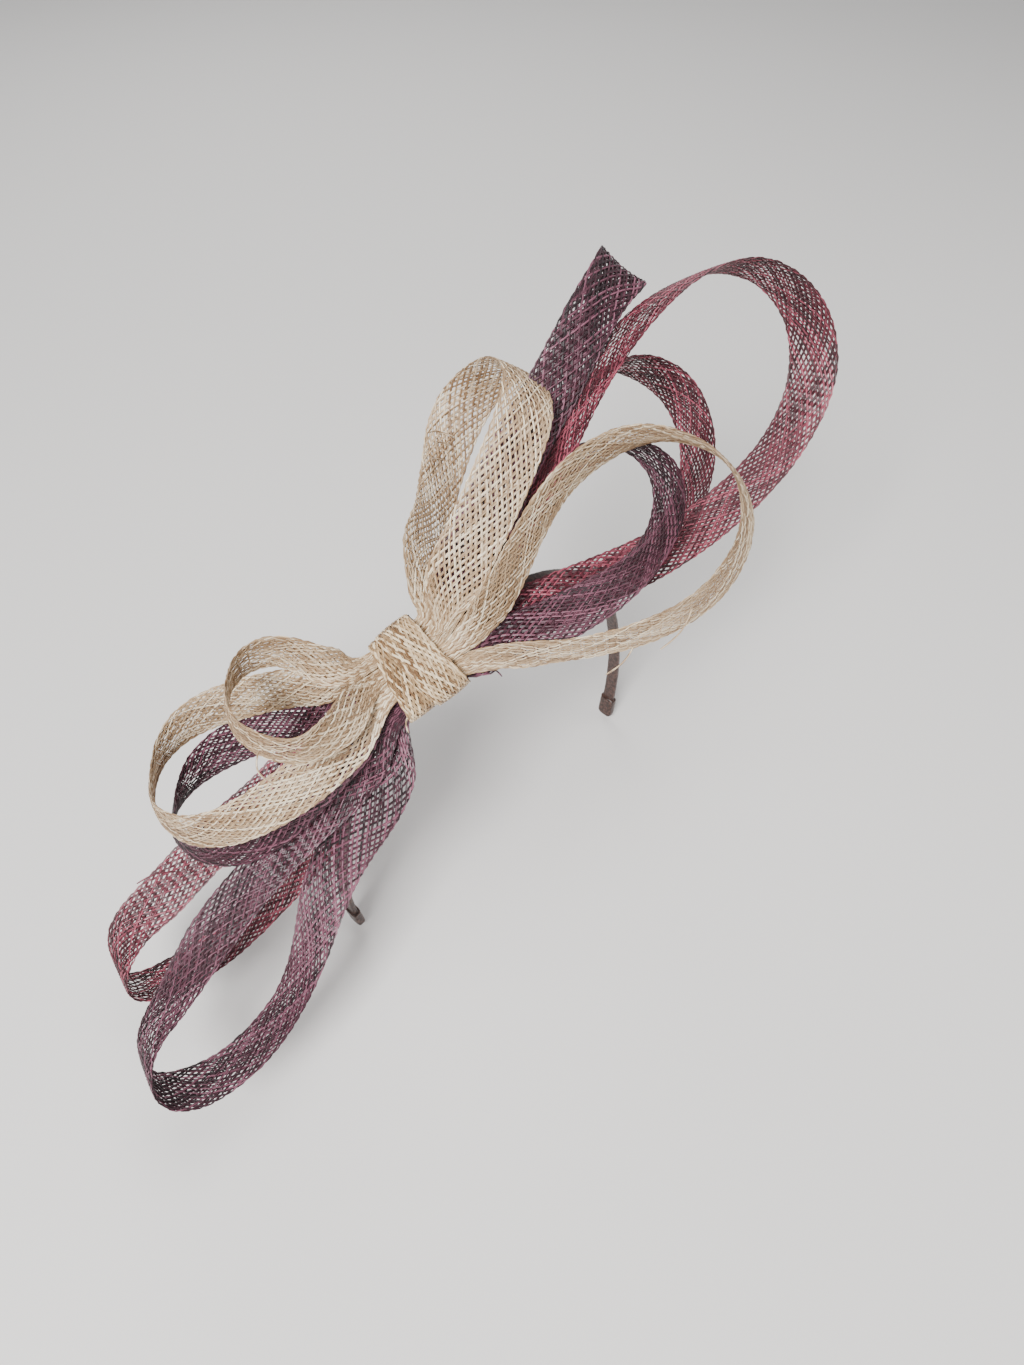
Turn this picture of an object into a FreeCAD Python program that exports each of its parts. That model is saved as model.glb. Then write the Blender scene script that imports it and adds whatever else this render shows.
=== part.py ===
"""Looped sinamay fascinator on a covered head band, in millimetres.

The origin is the head seat: the middle of the band's inner face at the top of the crown.
+Z is up, the wearer looks along -Y, and the band runs from ear to ear in the XZ plane.
The trim is a spray of looped strips, gathered through a cloth wrap and sewn to the band
a little to the wearer's right of the crown. Its pieces are laid out in the spray's own
frame: U runs along the gathered strips towards the wearer's left, V towards the back of
the head and W away from the head, with the origin at the middle of the wrap.
"""

import FreeCAD, Part
import math
import os
import Sketcher
from FreeCAD import Placement, Rotation, Vector

doc = FreeCAD.newDocument("fascinator")

SIZES = [
    ("band_radius", 78.0, "inside radius of the band's crown"),
    ("shoulder_angle", 70.0, "from the top of the crown to each shoulder, degrees"),
    ("arm_radius", 160.0, "inside radius of each arm below its shoulder"),
    ("arm_length", 85.0, "of each arm along its inside face"),
    ("core_width", 5.0, "steel strip, front to back"),
    ("core_thickness", 1.2, "steel strip"),
    ("cover_wall", 0.6, "satin wrapped round the steel"),
    ("cover_ease", 0.05, "gap between the steel and its satin, all round"),
    ("tip_length", 11.0, "of the arm that each end tip takes in"),
    ("tip_wall", 0.8, "end tip, all round"),
    ("tip_ease", 0.1, "gap between the satin and an end tip"),
    ("knot_angle", 25.0, "of the knot from the top, to the wearer's right, degrees"),
    ("spray_turn", -16.0, "of the spray about +Z, degrees"),
    ("spray_climb", 22.0, "of the spray's long axis above level, degrees"),
    ("spray_roll", 34.0, "of the spray about its long axis, degrees"),
    ("strip_width", 20.0, "folded width of each large strip"),
    ("small_strip_width", 18.0, "folded width of the smallest loop's strip"),
    ("strip_thickness", 1.0, "two layers of sinamay, pressed"),
    ("gather_width", 6.0, "of a strip where the knot squeezes it"),
    ("gather_run", 26.0, "length over which a strip opens to its full width"),
    ("column_pitch", 6.6, "between gathered strips across the knot"),
    ("layer_pitch", 2.6, "between gathered strips in the knot's middle columns"),
    ("edge_layer_pitch", 2.2, "between gathered strips in the knot's edge columns"),
    ("wrap_width", 22.0, "cloth wrap, along the strips"),
    ("wrap_wall", 1.2, "cloth wrap"),
    ("wrap_ease", 0.3, "gap between the binding thread and the wrap"),
    ("knot_corner", 3.0, "corner radius inside the binding thread"),
    ("thread_width", 0.8, "binding and lashing thread"),
    ("binding_ease", 0.3, "gap between the gathered strips and the binding thread"),
    ("binding_turns", 6, "turns of binding thread"),
    ("binding_pitch", 2.0, "between turns of the binding thread"),
    ("pad_length", 24.0, "felt pad between the wrap and the band, along the band"),
    ("pad_width", 15.0, "felt pad, across the band"),
    ("pad_depth", 6.5, "felt pad, from the wrap to its far face"),
    ("pad_recess", 1.5, "how deep the band lies in the felt pad"),
    ("pad_ease", 0.1, "gap between the band and the felt round it"),
    ("patch_length", 26.0, "felt patch inside the band, along the band"),
    ("patch_width", 14.0, "felt patch, across the band"),
    ("patch_thickness", 1.2, "felt patch"),
    ("lashing_turns", 4, "turns of thread that sew the knot to the band"),
    ("lashing_pitch", 4.5, "between turns of the lashing"),
    ("tail_width", 10.0, "cut end of the plum strip"),
]

sheet = doc.addObject("Spreadsheet::Sheet", "Sizes")
for row, (alias, value, note) in enumerate(SIZES, 1):
    sheet.set(f"A{row}", alias)
    sheet.set(f"B{row}", str(value))
    sheet.set(f"C{row}", note)
    sheet.setAlias(f"B{row}", alias)
doc.recompute()
size = {alias: float(sheet.get(alias)) for alias, value, note in SIZES}
subparts = []


def keep(piece, label, placement):
    piece.Label = label
    piece.Placement = placement
    subparts.append(piece)
    return piece


def shaped(label, shape, placement=Placement()):
    """A piece whose solid is worked out from the sheet's sizes by Part's own functions."""
    piece = doc.addObject("Part::Feature", label)
    piece.Shape = shape
    return keep(piece, label, placement)


# ------------------------------------------------------------------ head band
# Radii through the covered band, measured outwards from its inner face, as sheet formulas.
CORE_INNER = "Sizes.cover_wall"
CORE_OUTER = "Sizes.cover_wall + Sizes.core_thickness"
HOLLOW_INNER = "Sizes.cover_wall - Sizes.cover_ease"
HOLLOW_OUTER = "Sizes.cover_wall + Sizes.core_thickness + Sizes.cover_ease"
COVER_INNER = "0"
COVER_OUTER = "2 * Sizes.cover_wall + Sizes.core_thickness"
CORE_WIDTH = "Sizes.core_width"
HOLLOW_WIDTH = "Sizes.core_width + 2 * Sizes.cover_ease"
COVER_WIDTH = "Sizes.core_width + 2 * Sizes.cover_wall"
ARM_SWEEP = "Sizes.arm_length / Sizes.arm_radius * 180 / pi"
TIP_SWEEP = "Sizes.tip_length / Sizes.arm_radius * 180 / pi"
WALL_SWEEP = "(Sizes.tip_wall + Sizes.tip_ease) / Sizes.arm_radius * 180 / pi"


def arc_sketch(body, radius, inner, outer, start, end):
    """A stretch of a ring in the body's XZ plane, with its middle at the body's origin.

    Every argument after body is a formula on the sheet. inner and outer are measured from
    radius, and start and end are angles from +Z towards +X in degrees.
    """
    sketch = body.newObject("Sketcher::SketchObject", body.Name + "_side")
    plane = next(f for f in body.Origin.OriginFeatures if f.Role == "XZ_Plane")
    sketch.AttachmentSupport = [(plane, "")]
    sketch.MapMode = "FlatFace"
    radii = [f"{radius} + {inner}", f"{radius} + {outer}"]
    radius_mm = [float(sketch.evalExpression(formula)) for formula in radii]
    turns = [f"90 - ({end})", f"90 - ({start})"]
    turn_rad = [math.radians(float(sketch.evalExpression(formula))) for formula in turns]
    for distance in radius_mm:
        circle = Part.Circle(Vector(), Vector(0, 0, 1), distance)
        sketch.addGeometry(Part.ArcOfCircle(circle, *turn_rad))
    for angle in turn_rad:
        out = Vector(math.cos(angle), math.sin(angle), 0)
        sketch.addGeometry(Part.LineSegment(out * radius_mm[0], out * radius_mm[1]))
    for arc in (0, 1):
        sketch.addConstraint(Sketcher.Constraint("Coincident", arc, 3, -1, 1))
        number = sketch.addConstraint(Sketcher.Constraint("Radius", arc, radius_mm[arc]))
        sketch.setExpression(f"Constraints[{number}]", radii[arc])
    for line, arc_end in ((2, 1), (3, 2)):
        sketch.addConstraint(Sketcher.Constraint("Coincident", line, 1, 0, arc_end))
        sketch.addConstraint(Sketcher.Constraint("Coincident", line, 2, 1, arc_end))
        sketch.addConstraint(Sketcher.Constraint("PointOnObject", -1, 1, line))
        angle = Sketcher.Constraint("Angle", -1, 1, line, 1, turn_rad[line - 2])
        number = sketch.addConstraint(angle)
        sketch.setExpression(f"Constraints[{number}]", f"({turns[line - 2]}) * 1 deg")
    return sketch


def pad_both_ways(body, kind, sketch, width):
    """A pad or a pocket of the sketch, half of its width on each side of the plane."""
    feature = body.newObject(kind, f"{body.Name}_{kind.split('::')[1].lower()}")
    feature.Profile = sketch
    feature.SideType = "Symmetric"
    feature.setExpression("Length", width)
    return feature


def band_piece(label, centre, radius, start, end, profile, hollow=None):
    """A stretch of the band: profile and hollow are (inner, outer, width, start, end)."""
    body = doc.addObject("PartDesign::Body", label)
    inner, outer, width = profile
    sketch = arc_sketch(body, radius, inner, outer, start, end)
    pad_both_ways(body, "PartDesign::Pad", sketch, width)
    if hollow:
        inner, outer, width, start, end = hollow
        sketch = arc_sketch(body, radius, inner, outer, start, end)
        pad_both_ways(body, "PartDesign::Pocket", sketch, width)
    return keep(body, label, Placement(centre, Rotation()))


CORE = (CORE_INNER, CORE_OUTER, CORE_WIDTH)
COVER = (COVER_INNER, COVER_OUTER, COVER_WIDTH)
HOLLOW = (HOLLOW_INNER, HOLLOW_OUTER, HOLLOW_WIDTH)
TIP = ("-Sizes.tip_wall - Sizes.tip_ease",
       f"{COVER_OUTER} + Sizes.tip_wall + Sizes.tip_ease",
       f"{COVER_WIDTH} + 2 * Sizes.tip_wall + 2 * Sizes.tip_ease")
TIP_HOLLOW = ("-Sizes.tip_ease", f"{COVER_OUTER} + Sizes.tip_ease",
              f"{COVER_WIDTH} + 2 * Sizes.tip_ease")

crown_centre = Vector(0, 0, -size["band_radius"])
shoulder = "Sizes.shoulder_angle"
crown = ("Sizes.band_radius", f"-{shoulder}", shoulder)
band_piece("band_core_crown", crown_centre, *crown, CORE)
band_piece("band_cover_crown", crown_centre, *crown, COVER, (*HOLLOW, *crown[1:]))

for side, toward in (("left", 1), ("right", -1)):
    # Each arm's arc leaves the crown's arc in line with it, so both centres and the
    # shoulder lie on one radius.
    out = math.radians(size["shoulder_angle"])
    inwards = Vector(-toward * math.sin(out), 0, -math.cos(out))
    centre = crown_centre + inwards * (size["arm_radius"] - size["band_radius"])
    marks = {
        "shoulder": shoulder,
        "tip_start": f"{shoulder} + {ARM_SWEEP} - {TIP_SWEEP}",
        "arm_end": f"{shoulder} + {ARM_SWEEP}",
        "tip_bottom": f"{shoulder} + {ARM_SWEEP} + Sizes.tip_ease / Sizes.arm_radius * 180 / pi",
        "tip_end": f"{shoulder} + {ARM_SWEEP} + {WALL_SWEEP}",
    }

    def stretch(first, last):
        """The start and end angles between two marks, on this arm's side of the head."""
        if toward > 0:
            return marks[first], marks[last]
        return f"-({marks[last]})", f"-({marks[first]})"

    arm = stretch("shoulder", "arm_end")
    radius = "Sizes.arm_radius"
    band_piece(f"band_core_{side}_arm", centre, radius, *arm, CORE)
    band_piece(f"band_cover_{side}_arm", centre, radius, *arm, COVER, (*HOLLOW, *arm))
    band_piece(f"end_tip_{side}", centre, radius, *stretch("tip_start", "tip_end"), TIP,
               (*TIP_HOLLOW, *stretch("tip_start", "tip_bottom")))

# ------------------------------------------------------------------ knot
# The gathered strips fill a block of cells: four columns across V and up to four layers
# through W. The binding thread, the wrap and the felt pad are each sized round the last.
edge_column = 1.5 * size["column_pitch"]
inner_column = 0.5 * size["column_pitch"]
stack_half_v = edge_column + size["gather_width"] / 2
stack_half_w = 1.5 * size["layer_pitch"] + size["strip_thickness"] / 2
binding_half_v = stack_half_v + size["binding_ease"]
binding_half_w = stack_half_w + size["binding_ease"]
wrap_inside = size["thread_width"] + size["wrap_ease"]
wrap_half_v = binding_half_v + wrap_inside
wrap_half_w = binding_half_w + wrap_inside
knot_depth = wrap_half_w + size["wrap_wall"]

cover_depth = 2 * size["cover_wall"] + size["core_thickness"]
cover_width = size["core_width"] + 2 * size["cover_wall"]
turn = Rotation(size["spray_turn"], -size["spray_climb"], size["spray_roll"])
away = turn.multVec(Vector(0, 0, 1))
knot = math.radians(size["knot_angle"])
band_normal = Vector(-math.sin(knot), 0, math.cos(knot))
seat = crown_centre + band_normal * (size["band_radius"] + cover_depth)
stand_off = knot_depth + size["pad_depth"] - size["pad_recess"]
spray = Placement(seat + away * stand_off, turn)


def rounded_rectangle(half_y, half_z, corner, x=0.0):
    """A closed wire in the plane at x, rounded at its four corners."""
    wire = Part.makePolygon([Vector(x, y, z) for y, z in (
        (-half_y, -half_z), (half_y, -half_z), (half_y, half_z),
        (-half_y, half_z), (-half_y, -half_z))])
    block = Part.Face(wire).extrude(Vector(1, 0, 0))
    upright = [e for e in block.Edges if abs(e.tangentAt(e.FirstParameter).x) > 0.9]
    rounded = block.makeFillet(corner, upright)
    face = min(rounded.Faces, key=lambda f: f.CenterOfMass.x)
    return face.OuterWire


def ring(half_y, half_z, corner, wall, width, x):
    """A rounded rectangular ring with this inside, centred on x and width wide."""
    outer = Part.Face(rounded_rectangle(half_y + wall, half_z + wall, corner + wall))
    inner = Part.Face(rounded_rectangle(half_y, half_z, corner))
    solid = outer.extrude(Vector(width, 0, 0)).cut(inner.extrude(Vector(width, 0, 0)))
    solid.translate(Vector(x - width / 2, 0, 0))
    return solid.Solids[0]


turns = int(size["binding_turns"])
shaped("binding_thread", Part.Compound([
    ring(binding_half_v, binding_half_w, size["knot_corner"], size["thread_width"],
         size["thread_width"], (number - (turns - 1) / 2) * size["binding_pitch"])
    for number in range(turns)]), spray)

wrap_body = doc.addObject("PartDesign::Body", "centre_wrap")
wrap_sketch = wrap_body.newObject("Sketcher::SketchObject", "wrap_end")
plane = next(f for f in wrap_body.Origin.OriginFeatures if f.Role == "YZ_Plane")
wrap_sketch.AttachmentSupport = [(plane, "")]
wrap_sketch.MapMode = "FlatFace"
WRAP_HALF_V = ("1.5 * Sizes.column_pitch + Sizes.gather_width / 2 + Sizes.binding_ease"
               " + Sizes.thread_width + Sizes.wrap_ease")
WRAP_HALF_W = ("1.5 * Sizes.layer_pitch + Sizes.strip_thickness / 2 + Sizes.binding_ease"
               " + Sizes.thread_width + Sizes.wrap_ease")
for outline, wall in ((0, ""), (1, " + Sizes.wrap_wall")):
    first = outline * 4
    grow = outline * size["wrap_wall"]
    half_v, half_w = wrap_half_v + grow, wrap_half_w + grow
    corners = [Vector(-half_v, -half_w, 0), Vector(half_v, -half_w, 0),
               Vector(half_v, half_w, 0), Vector(-half_v, half_w, 0)]
    for corner in range(4):
        sketch_line = Part.LineSegment(corners[corner], corners[(corner + 1) % 4])
        wrap_sketch.addGeometry(sketch_line)
    for corner in range(4):
        after = first + (corner + 1) % 4
        joined = Sketcher.Constraint("Coincident", first + corner, 2, after, 1)
        wrap_sketch.addConstraint(joined)
    for level in (0, 2):
        wrap_sketch.addConstraint(Sketcher.Constraint("Horizontal", first + level))
        wrap_sketch.addConstraint(Sketcher.Constraint("Vertical", first + level + 1))
    wrap_sketch.addConstraint(
        Sketcher.Constraint("Symmetric", first, 1, first + 1, 2, -1, 1))
    for line, half, formula in ((first, half_v, WRAP_HALF_V), (first + 1, half_w, WRAP_HALF_W)):
        number = wrap_sketch.addConstraint(
            Sketcher.Constraint("Distance", line, 2 * half))
        wrap_sketch.setExpression(f"Constraints[{number}]", f"2 * ({formula}{wall})")
wrap_pad = pad_both_ways(wrap_body, "PartDesign::Pad", wrap_sketch, "Sizes.wrap_width")
doc.recompute()


def long_edges(shape, outside):
    """The four edges along the strips at the wrap's outside corners, or its inside ones."""
    found = []
    for number, edge in enumerate(shape.Edges, 1):
        middle = edge.CenterOfMass
        along = edge.Curve.TypeId == "Part::GeomLine" and abs(edge.Curve.Direction.x) > 0.9
        if along and (abs(middle.y) > wrap_half_v + 0.1) == outside:
            found.append(f"Edge{number}")
    return found


for outside, wall in ((False, ""), (True, " + Sizes.wrap_wall")):
    base = wrap_body.Tip
    rounding = wrap_body.newObject("PartDesign::Fillet", "wrap_rounding")
    rounding.Base = (base, long_edges(base.Shape, outside))
    rounding.setExpression(
        "Radius", f"Sizes.knot_corner + Sizes.thread_width + Sizes.wrap_ease{wall}")
    doc.recompute()
keep(wrap_body, "centre_wrap", spray)

# The felt pad fills the space under the wrap and is cut to sit down over the band.
pad_outline = doc.addObject("Part::Ellipse", "pad_outline")
pad_outline.setExpression("MajorRadius", "Sizes.pad_length / 2")
pad_outline.setExpression("MinorRadius", "Sizes.pad_width / 2")
pad_blank = doc.addObject("Part::Extrusion", "pad_blank")
pad_blank.Base = pad_outline
pad_blank.Dir = Vector(0, 0, -1)
pad_blank.setExpression("LengthFwd", "Sizes.pad_depth")
pad_blank.Solid = True
pad_outline.Placement = Placement(spray.multVec(Vector(0, 0, -knot_depth)), turn)
pad_blank.DirMode = "Normal"
pad_blank.Reversed = True


def band_disc(name, radius, width):
    """A disc in the band's plane about the crown's centre: radius and width are formulas."""
    disc = doc.addObject("Part::Cylinder", name)
    disc.setExpression("Radius", radius)
    disc.setExpression("Height", width)
    half = float(disc.evalExpression(width)) / 2
    disc.Placement = Placement(crown_centre + Vector(0, half, 0),
                               Rotation(Vector(1, 0, 0), 90))
    return disc


pad_over_band = doc.addObject("Part::Cut", "pad_over_band")
pad_over_band.Base = pad_blank
pad_over_band.Tool = band_disc(
    "pad_slot", f"Sizes.band_radius + {COVER_OUTER} + Sizes.pad_ease",
    f"{COVER_WIDTH} + 2 * Sizes.pad_ease")
pad_piece = doc.addObject("Part::Cut", "felt_pad")
pad_piece.Base = pad_over_band
pad_piece.Tool = band_disc("pad_underside", "Sizes.band_radius + Sizes.pad_ease",
                           "2 * Sizes.pad_width")
keep(pad_piece, "felt_pad", Placement())

# The felt patch is an oval glued to the band's inner face, under the knot.
patch_outline = doc.addObject("Part::Ellipse", "patch_outline")
patch_outline.setExpression("MajorRadius", "Sizes.patch_length / 2")
patch_outline.setExpression("MinorRadius", "Sizes.patch_width / 2")
band_turn = Rotation(Vector(0, 1, 0), -size["knot_angle"])
patch_outline.Placement = Placement(
    crown_centre + band_normal * (size["band_radius"] + cover_depth), band_turn)
patch_blank = doc.addObject("Part::Extrusion", "patch_blank")
patch_blank.Base = patch_outline
patch_blank.DirMode = "Normal"
patch_blank.Reversed = True
patch_blank.setExpression(
    "LengthFwd", "Sizes.patch_length / 2 + Sizes.patch_thickness")
patch_blank.Solid = True
patch_shell = doc.addObject("Part::Cut", "patch_shell")
patch_shell.Base = band_disc("patch_outside", "Sizes.band_radius", "2 * Sizes.patch_width")
patch_shell.Tool = band_disc("patch_inside", "Sizes.band_radius - Sizes.patch_thickness",
                             "2 * Sizes.patch_width")
patch_piece = doc.addObject("Part::Common", "felt_patch")
patch_piece.Base = patch_shell
patch_piece.Tool = patch_blank
keep(patch_piece, "felt_patch", Placement())

# Turns of thread go round the band and through the felt on both sides of it.
lashing_half_y = cover_width / 2 + size["pad_ease"]
lashing_low = -size["patch_thickness"] - size["pad_ease"]
lashing_high = cover_depth + size["pad_ease"]
lashing_middle = (lashing_low + lashing_high) / 2
lashings = []
turns = int(size["lashing_turns"])
for number in range(turns):
    along = (number - (turns - 1) / 2) * size["lashing_pitch"]
    angle = size["knot_angle"] + math.degrees(along / size["band_radius"])
    loop = ring(lashing_half_y, (lashing_high - lashing_low) / 2,
                size["thread_width"] / 2, size["thread_width"], size["thread_width"], 0)
    loop.Placement = Placement(crown_centre, Rotation(Vector(0, 1, 0), -angle)).multiply(
        Placement(Vector(0, 0, size["band_radius"] + lashing_middle), Rotation()))
    lashings.append(loop)
shaped("lashing_thread", Part.Compound(lashings))

# ------------------------------------------------------------------ loops
EDGE, NEAR = edge_column, inner_column
TOP, BOTTOM = 1.5 * size["layer_pitch"], -1.5 * size["layer_pitch"]
UPPER, LOWER = 0.5 * size["layer_pitch"], -0.5 * size["layer_pitch"]
OVER, UNDER = size["edge_layer_pitch"], -size["edge_layer_pitch"]
wide, small = size["strip_width"], size["small_strip_width"]

# Each loop: name, side of the knot (+1 is the wearer's left), strip width, the cells that
# its two ends lie in, and its route. A point of the route is (U, V, W) of the strip's
# middle, then the way that the strip's width lies there.
LOOPS = [
    ("cream_loop_upright", 1, wide, (EDGE, OVER), (NEAR, TOP), [
        ((20, 22, 7), (0.2, -0.7, -0.6)),
        ((33, 38, -7), (0.3, -0.4, -0.9)),
        ((50, 55, -20), (0.5, -0.5, -0.7)),
        ((69, 69, -22), (0.7, -0.7, -0.3)),
        ((84, 70, -11), (0.5, -0.6, -0.6)),
        ((89, 59, 9), (0.5, -0.5, -0.7)),
        ((82, 47, 21), (0.5, -0.7, -0.4)),
        ((64, 34, 22), (0.5, -0.8, -0.3)),
        ((42, 22, 17), (0.4, -0.8, -0.3)),
        ((23, 11, 11), (0.2, -0.9, -0.2)),
    ]),
    ("cream_loop_round", 1, wide, (-NEAR, TOP), (-EDGE, OVER), [
        ((28, -1, 4), (0.2, -0.6, -0.8)),
        ((55, 11, 10), (0.3, -0.4, -0.9)),
        ((77, 20, 13), (0.3, -0.3, -0.9)),
        ((99, 21, 10), (0.3, -0.3, -0.9)),
        ((120, 11, 5), (0.3, -0.2, -0.9)),
        ((130, -8, 3), (0.3, -0.2, -0.9)),
        ((125, -25, 4), (0.3, -0.3, -0.9)),
        ((102, -39, 8), (0.2, -0.4, -0.9)),
        ((73, -38, 12), (0, -0.4, -0.9)),
        ((46, -27, 11), (-0.1, -0.3, -0.9)),
        ((25, -15, 8), (-0.1, -0.5, -0.9)),
    ]),
    ("plum_loop_tall", 1, wide, (NEAR, UPPER), (EDGE, UNDER), [
        ((24, 10, 4), (0.2, -0.9, 0)),
        ((35, 16, 6), (0.3, -0.9, -0.1)),
        ((66, 35, 8), (0.4, -0.8, -0.4)),
        ((99, 51, 7), (0.4, -0.8, -0.5)),
        ((128, 65, 9), (0.4, -0.7, -0.6)),
        ((141, 71, -1), (0.4, -0.7, -0.6)),
        ((134, 70, -13), (0.4, -0.7, -0.6)),
        ((102, 54, -19), (0.4, -0.8, -0.5)),
        ((65, 35, -19), (0.4, -0.8, -0.5)),
        ((28, 19, -9), (0.3, -0.9, -0.3)),
    ]),
    ("plum_loop_round", 1, wide, (-NEAR, UPPER), (-EDGE, 0), [
        ((22, -1, -4), (0.1, -0.9, 0.2)),
        ((35, 6, -8), (0.2, -0.9, 0.4)),
        ((63, 20, -9), (0.2, -0.8, 0.5)),
        ((87, 27, -10), (0.2, -0.7, 0.7)),
        ((108, 22, -14), (0.3, -0.4, 0.8)),
        ((115, 7, -18), (0.3, -0.3, 0.9)),
        ((109, -6, -19), (0.3, -0.4, 0.9)),
        ((95, -15, -17), (0.2, -0.5, 0.9)),
        ((71, -18, -11), (-0.1, -0.7, 0.6)),
        ((39, -14, -3), (-0.2, -0.8, 0.4)),
    ]),
    ("rose_loop_great", 1, wide, (NEAR, LOWER), (-NEAR, LOWER), [
        ((24, 8, 0), (0.1, -0.9, 0.2)),
        ((41, 15, -3), (0.2, -0.8, 0.5)),
        ((74, 27, -3), (0.3, -0.6, 0.8)),
        ((100, 40, 2), (0.3, -0.5, 0.8)),
        ((130, 51, 5), (0.3, -0.5, 0.8)),
        ((157, 53, 3), (0.3, -0.4, 0.9)),
        ((181, 45, -6), (0.3, -0.3, 0.9)),
        ((192, 25, -18), (0.4, -0.4, 0.8)),
        ((187, 6, -28), (0.5, -0.5, 0.7)),
        ((168, -9, -36), (0.4, -0.6, 0.7)),
        ((137, -17, -38), (0.2, -0.8, 0.6)),
        ((98, -17, -31), (-0.1, -0.9, 0.5)),
        ((58, -10, -17), (-0.2, -0.9, 0.3)),
        ((30, -5, -8), (-0.1, -0.9, 0.2)),
    ]),
    ("rose_loop_back", 1, wide, (NEAR, BOTTOM), (-NEAR, BOTTOM), [
        ((26, 8, -14), (0.2, -0.9, 0.3)),
        ((45, 19, -29), (0.4, -0.6, 0.7)),
        ((97, 46, -46), (0.5, -0.4, 0.8)),
        ((136, 55, -58), (0.5, -0.3, 0.8)),
        ((149, 38, -62), (0.5, -0.2, 0.8)),
        ((146, 15, -62), (0.5, -0.2, 0.8)),
        ((128, -5, -58), (0.5, -0.3, 0.8)),
        ((94, -15, -46), (0.2, -0.7, 0.6)),
        ((56, -10, -25), (0, -0.9, 0.3)),
        ((32, -5, -12), (0, -0.9, 0.3)),
    ]),
    ("cream_loop_small", -1, small, (EDGE, OVER), (NEAR, TOP), [
        ((-18, 11, 7), (-0.1, -0.9, -0.3)),
        ((-26, 20, 15), (-0.2, -0.6, -0.7)),
        ((-33, 29, 20), (-0.3, -0.4, -0.9)),
        ((-42, 32, 24), (-0.4, -0.3, -0.9)),
        ((-51, 28, 28), (-0.4, -0.2, -0.9)),
        ((-56, 18, 32), (-0.4, -0.2, -0.9)),
        ((-53, 7, 35), (-0.4, -0.3, -0.9)),
        ((-45, -2, 33), (-0.3, -0.4, -0.9)),
        ((-33, -4, 26), (-0.2, -0.6, -0.8)),
        ((-21, 0, 15), (-0.1, -0.9, -0.5)),
    ]),
    ("cream_loop_wide", -1, wide, (EDGE, 0), (-NEAR, TOP), [
        ((-25, 12, 0), (-0.2, -0.8, -0.6)),
        ((-42, 20, -3), (-0.3, -0.6, -0.8)),
        ((-61, 28, -6), (-0.5, -0.5, -0.8)),
        ((-81, 31, -7), (-0.5, -0.4, -0.8)),
        ((-96, 25, -5), (-0.5, -0.3, -0.8)),
        ((-103, 14, 0), (-0.4, -0.2, -0.9)),
        ((-98, 1, 7), (-0.4, -0.4, -0.8)),
        ((-83, -8, 12), (-0.3, -0.6, -0.7)),
        ((-62, -11, 14), (-0.1, -0.8, -0.6)),
        ((-37, -9, 11), (0, -0.8, -0.5)),
    ]),
    ("plum_loop_under", -1, wide, (EDGE, UNDER), (-NEAR, UPPER), [
        ((-32, 9, -10), (-0.2, -0.9, -0.4)),
        ((-54, 13, -19), (-0.4, -0.6, -0.7)),
        ((-75, 18, -27), (-0.5, -0.5, -0.7)),
        ((-95, 17, -28), (-0.6, -0.4, -0.6)),
        ((-108, 7, -21), (-0.6, -0.3, -0.8)),
        ((-103, -9, -13), (-0.3, -0.5, -0.8)),
        ((-87, -16, -9), (-0.2, -0.7, -0.7)),
        ((-62, -14, -5), (0, -0.8, -0.5)),
        ((-36, -8, -1), (0, -0.9, -0.3)),
    ]),
    ("plum_loop_low", -1, wide, (-EDGE, 0), (-EDGE, UNDER), [
        ((-41, -18, -13), (0.2, -0.9, 0.4)),
        ((-70, -23, -19), (0.3, -0.8, 0.5)),
        ((-94, -28, -16), (0.3, -0.8, 0.5)),
        ((-115, -35, -6), (0.3, -0.8, 0.5)),
        ((-136, -45, 4), (0.4, -0.6, 0.7)),
        ((-153, -54, 6), (0.4, -0.4, 0.8)),
        ((-159, -67, 2), (0.2, -0.4, 0.9)),
        ((-151, -76, -7), (-0.1, -0.5, 0.9)),
        ((-133, -78, -15), (0, -0.6, 0.8)),
        ((-112, -72, -21), (0.2, -0.6, 0.8)),
        ((-95, -61, -24), (0.6, -0.5, 0.6)),
        ((-79, -48, -24), (0.8, -0.4, 0.3)),
        ((-57, -37, -18), (0.8, -0.5, 0.3)),
        ((-34, -28, -10), (0.4, -0.9, 0.3)),
        ((-22, -18, -6), (0.1, -0.9, 0.2)),
    ]),
    ("rose_loop_low", -1, wide, (NEAR, LOWER), (-NEAR, BOTTOM), [
        ((-22, 5, -11), (0, -0.9, 0.3)),
        ((-34, 6, -21), (0.1, -0.9, 0.4)),
        ((-49, 2, -28), (0.1, -0.9, 0.4)),
        ((-77, -5, -32), (0.2, -0.9, 0.4)),
        ((-107, -8, -30), (0.2, -0.9, 0.4)),
        ((-131, -13, -26), (0.3, -0.9, 0.4)),
        ((-152, -19, -24), (0.4, -0.7, 0.6)),
        ((-161, -33, -30), (0.2, -0.4, 0.9)),
        ((-149, -40, -39), (0, -0.6, 0.8)),
        ((-125, -41, -43), (0.1, -0.7, 0.7)),
        ((-96, -36, -39), (0.1, -0.8, 0.6)),
        ((-60, -24, -27), (0.2, -0.8, 0.5)),
        ((-34, -7, -14), (0.1, -0.9, 0.3)),
        ((-22, -4, -8), (0, -0.9, 0.2)),
    ]),
]

SECTIONS = 80
flat = Vector(0, -1, 0)


def unit(vector):
    return vector / vector.Length


def pairs(items):
    return list(zip(items, items[1:]))


def lie_at(route, distances, at):
    """The way a strip's width lies at a distance, turning steadily between its points."""
    for (start, end), (before, after) in zip(pairs(distances), pairs(route)):
        if at <= end:
            break
    share = (at - start) / (end - start)
    return unit(unit(before[1]) * (1 - share) + unit(after[1]) * share)


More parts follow.
